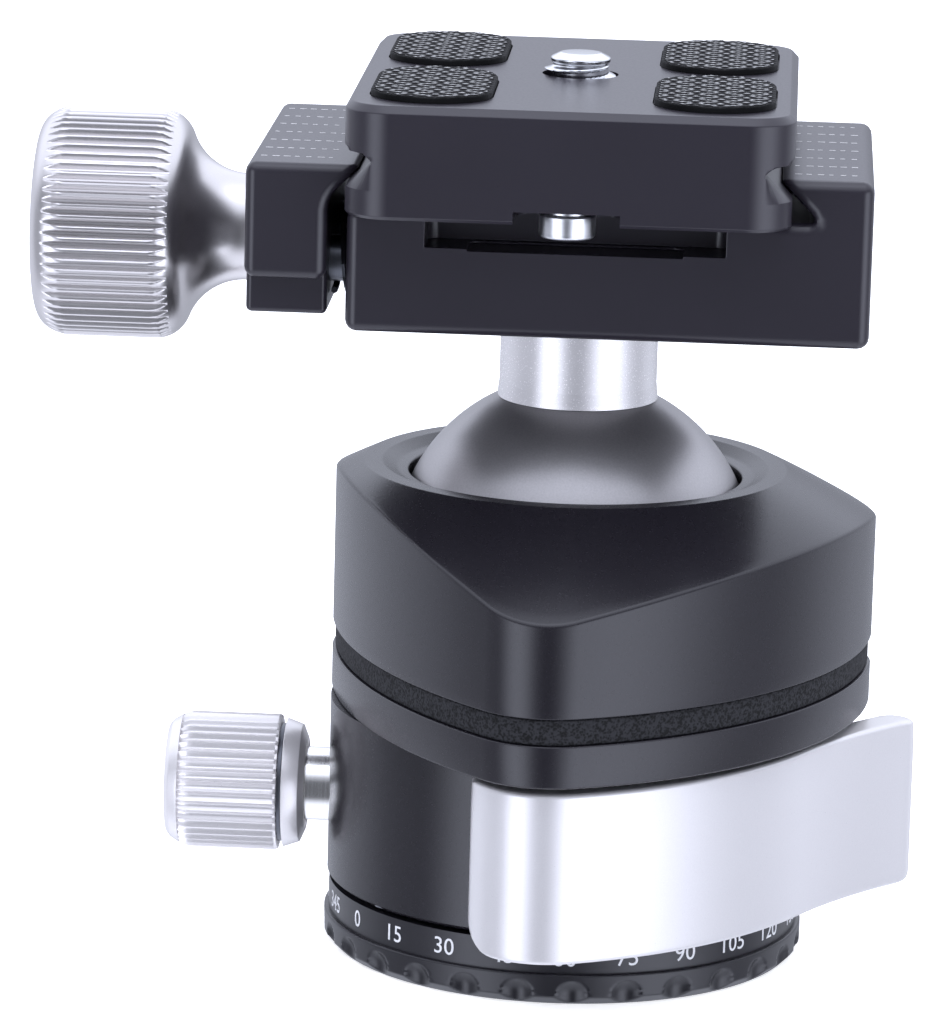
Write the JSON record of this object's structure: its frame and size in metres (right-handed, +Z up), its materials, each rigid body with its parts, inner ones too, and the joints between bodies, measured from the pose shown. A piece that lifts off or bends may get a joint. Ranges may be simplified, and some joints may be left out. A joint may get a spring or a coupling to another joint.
{
  "type": "tripod ball head",
  "caption": "Tripod ball head with a wrap-round locking lever, panning base with degree scale, pan-lock knob and screw-knob quick-release clamp holding a dovetail camera plate.",
  "frame": {"origin": "centre of the tripod thread at the underside of the pan base, on the pan axis", "axes": "+Z up along the pan axis towards the ball and the clamp; the clamp's dovetail channel runs along Y; the clamp knob and the pan-lock knob point to -X; the front corner of the housing and the lever face -Y"},
  "size_m": [0.0787, 0.055, 0.0802],
  "materials": {
    "black_anodised": "matte black anodised",
    "silver_anodised": "satin silver anodised",
    "ball_grey": "bead-blasted grey anodised",
    "steel": "machined",
    "bright_steel": "polished",
    "bronze": "machined bearing bronze",
    "band_rubber": "grained black rubber",
    "pad_rubber": "woven-textured black rubber"
  },
  "bodies": {
    "base": {"pan_base": "black_anodised", "scale_ring": "black_anodised", "tripod_insert": "steel", "pan_spigot": "steel", "base_screws": "steel", "pan_retainer": "steel", "retainer_screws": "steel"},
    "housing": {"lower_housing": "black_anodised", "upper_housing": "black_anodised", "grip_band": "band_rubber", "housing_screws": "steel", "pan_bushing": "bronze", "seat_ring": "bronze"},
    "pan_pad": {"pan_lock_pad": "bronze"},
    "pan_knob": {"pan_lock_knob": "silver_anodised", "pan_lock_screw": "bright_steel"},
    "lever": {"lock_lever": "silver_anodised", "cam_ring": "steel", "lever_screws": "steel"},
    "lift": {"lift_ring": "steel", "wave_spring": "steel"},
    "cup": {"lower_cup": "bronze"},
    "ball": {"ball": "ball_grey"},
    "clamp": {"stem": "silver_anodised", "clamp_bolt": "steel", "anti_twist_pins": "steel", "clamp_body": "black_anodised", "guide_rods": "steel", "jaw_springs": "steel"},
    "jaw": {"sliding_jaw": "black_anodised", "knob_washer": "steel"},
    "knob": {"clamp_knob": "silver_anodised", "clamp_screw": "steel", "knob_cap": "silver_anodised"},
    "plate": {"quick_release_plate": "black_anodised", "grip_pads": "pad_rubber", "stop_screws": "bright_steel", "screw_clip": "steel"},
    "camera_screw": {"camera_screw": "bright_steel"}
  },
  "joints": [
    {"name": "pan", "type": "hinge", "parent": "base", "child": "housing", "pos_m": [0, 0, 0], "axis": [0, 0, 1], "continuous": true},
    {"name": "pan_pad_slide", "type": "slide", "parent": "housing", "child": "pan_pad", "axis": [-1, 0, 0], "range_m": [0, 0.0008]},
    {"name": "pan_knob_turn", "type": "hinge", "parent": "pan_pad", "child": "pan_knob", "pos_m": [-0.02, 0, 0.0133], "axis": [-1, 0, 0], "range_deg": [0, 360]},
    {"name": "lever_swing", "type": "hinge", "parent": "housing", "child": "lever", "pos_m": [0, 0, 0], "axis": [0, 0, 1], "range_deg": [-55, 0]},
    {"name": "lift_slide", "type": "slide", "parent": "housing", "child": "lift", "axis": [0, 0, 1], "range_m": [-0.0004, 0], "deforming": ["wave_spring"]},
    {"name": "ball_swivel", "type": "hinge", "parent": "housing", "child": "cup", "pos_m": [0, 0, 0.0353], "axis": [0, 0, 1], "continuous": true},
    {"name": "ball_tilt", "type": "hinge", "parent": "cup", "child": "ball", "pos_m": [0, 0, 0.0353], "axis": [1, 0, 0], "range_deg": [-33, 33]},
    {"name": "ball_spin", "type": "hinge", "parent": "ball", "child": "clamp", "pos_m": [0, 0, 0.0353], "axis": [0, 0, 1], "continuous": true},
    {"name": "jaw_slide", "type": "slide", "parent": "clamp", "child": "jaw", "axis": [-1, 0, 0], "range_m": [0, 0.004]},
    {"name": "clamp_knob_turn", "type": "hinge", "parent": "jaw", "child": "knob", "pos_m": [-0.04, 0, 0.06375], "axis": [-1, 0, 0], "range_deg": [0, 1440]},
    {"name": "plate_slide", "type": "slide", "parent": "clamp", "child": "plate", "axis": [0, 1, 0], "range_m": [-0.005, 0.005]},
    {"name": "camera_screw_turn", "type": "hinge", "parent": "plate", "child": "camera_screw", "pos_m": [-0.0006, 0, 0.0789], "axis": [0, 0, 1], "continuous": true}
  ],
  "couplings": [
    {"joint": "pan_knob_turn", "follows": "pan_pad_slide", "rad_per_m": 7853.9},
    {"joint": "lift_slide", "follows": "lever_swing", "m_per_rad": 0.000416},
    {"joint": "clamp_knob_turn", "follows": "jaw_slide", "rad_per_m": 6283.1}
  ]
}
